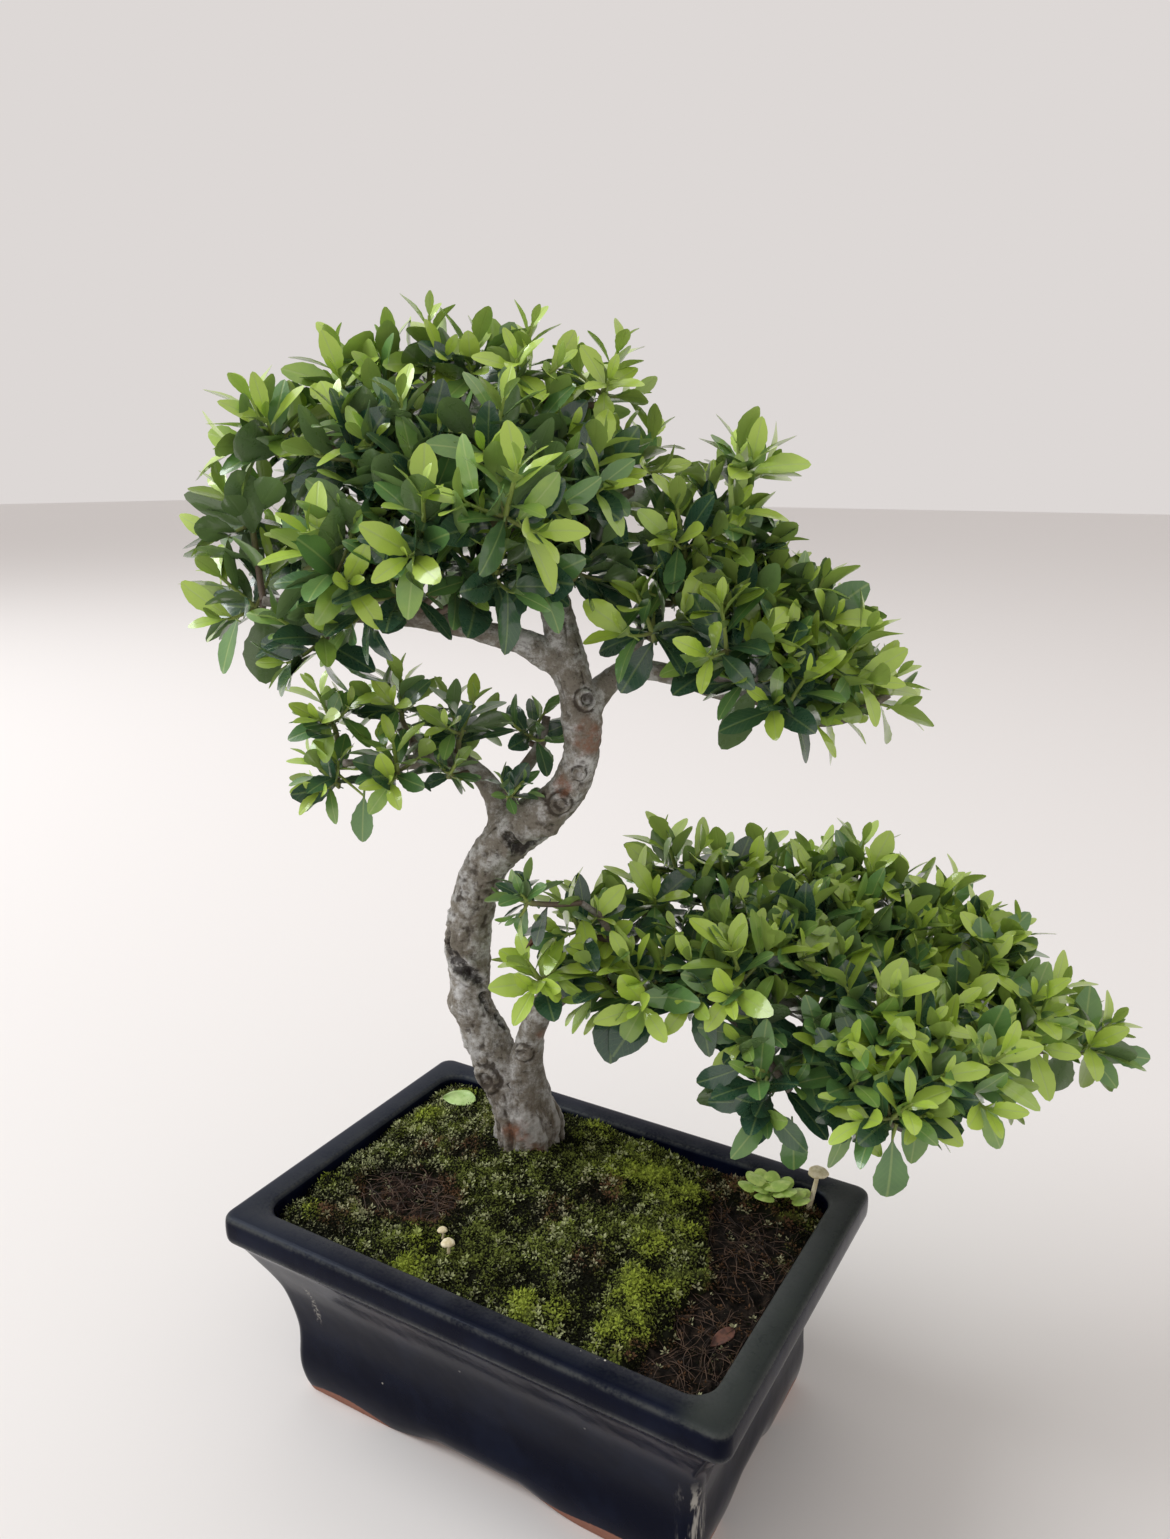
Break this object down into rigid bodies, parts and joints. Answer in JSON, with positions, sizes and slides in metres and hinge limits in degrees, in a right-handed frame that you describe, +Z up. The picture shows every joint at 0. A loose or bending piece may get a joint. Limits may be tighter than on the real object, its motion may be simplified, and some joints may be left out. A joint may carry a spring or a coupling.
{
  "type": "holly bonsai",
  "caption": "Small-leaved holly trained as an S-curved bonsai with layered leafy masses, growing in mossy soil in a low rectangular glazed pot on corner feet.",
  "frame": {"origin": "middle of the whole part's box seen from above, at the level that the pot's feet stand on", "axes": "+X along the pot's long side, +Y along its short side towards the back, +Z up"},
  "size_m": [0.3356, 0.2386, 0.4222],
  "materials": {
    "pot_glaze": "glossy navy black glaze, bare terracotta under the feet",
    "screen_plastic": "moulded mesh",
    "soil": "damp crumbly soil with fine roots",
    "moss": "low cushions of living moss",
    "bark": "grey-brown bark with pits and scars",
    "leaf": "waxy leaves, darker with age",
    "seedling": "soft round leaves",
    "mushroom": "matt cream cap",
    "pale_leaf": "fading green leaf",
    "dry_leaf": "withered brown leaf"
  },
  "bodies": {
    "root": {"trunk_and_branches": "bark", "spray_crown_01": "leaf", "spray_crown_02": "leaf", "spray_crown_03": "leaf", "spray_crown_04": "leaf", "spray_crown_05": "leaf", "spray_crown_06": "leaf", "spray_crown_07": "leaf", "spray_crown_08": "leaf", "spray_crown_09": "leaf", "spray_crown_10": "leaf", "spray_crown_11": "leaf", "spray_crown_12": "leaf", "spray_crown_13": "leaf", "spray_crown_14": "leaf", "spray_crown_15": "leaf", "spray_crown_16": "leaf", "spray_crown_17": "leaf", "spray_crown_18": "leaf", "spray_right_01": "leaf", "spray_right_02": "leaf", "spray_right_03": "leaf", "spray_right_04": "leaf", "spray_right_05": "leaf", "spray_right_06": "leaf", "spray_right_07": "leaf", "spray_right_08": "leaf", "spray_left_01": "leaf", "spray_left_02": "leaf", "spray_left_03": "leaf", "spray_left_04": "leaf", "spray_left_05": "leaf", "spray_left_06": "leaf", "spray_low_01": "leaf", "spray_low_02": "leaf", "spray_low_03": "leaf", "spray_low_04": "leaf", "spray_low_05": "leaf", "spray_low_06": "leaf", "spray_low_07": "leaf", "spray_low_08": "leaf", "spray_low_09": "leaf", "spray_low_10": "leaf", "spray_low_11": "leaf", "spray_low_12": "leaf", "spray_low_13": "leaf", "spray_low_14": "leaf", "spray_low_15": "leaf", "dry_leaf": "dry_leaf", "pot": "pot_glaze", "drain_screen_left": "screen_plastic", "drain_screen_right": "screen_plastic", "soil": "soil", "moss_carpet": "moss", "seedling_clump": "seedling", "mushroom_corner": "mushroom", "mushroom_near": "mushroom", "mushroom_far": "mushroom", "fallen_leaf_pale": "pale_leaf", "fallen_leaf_brown": "dry_leaf"}
  },
  "joints": []
}
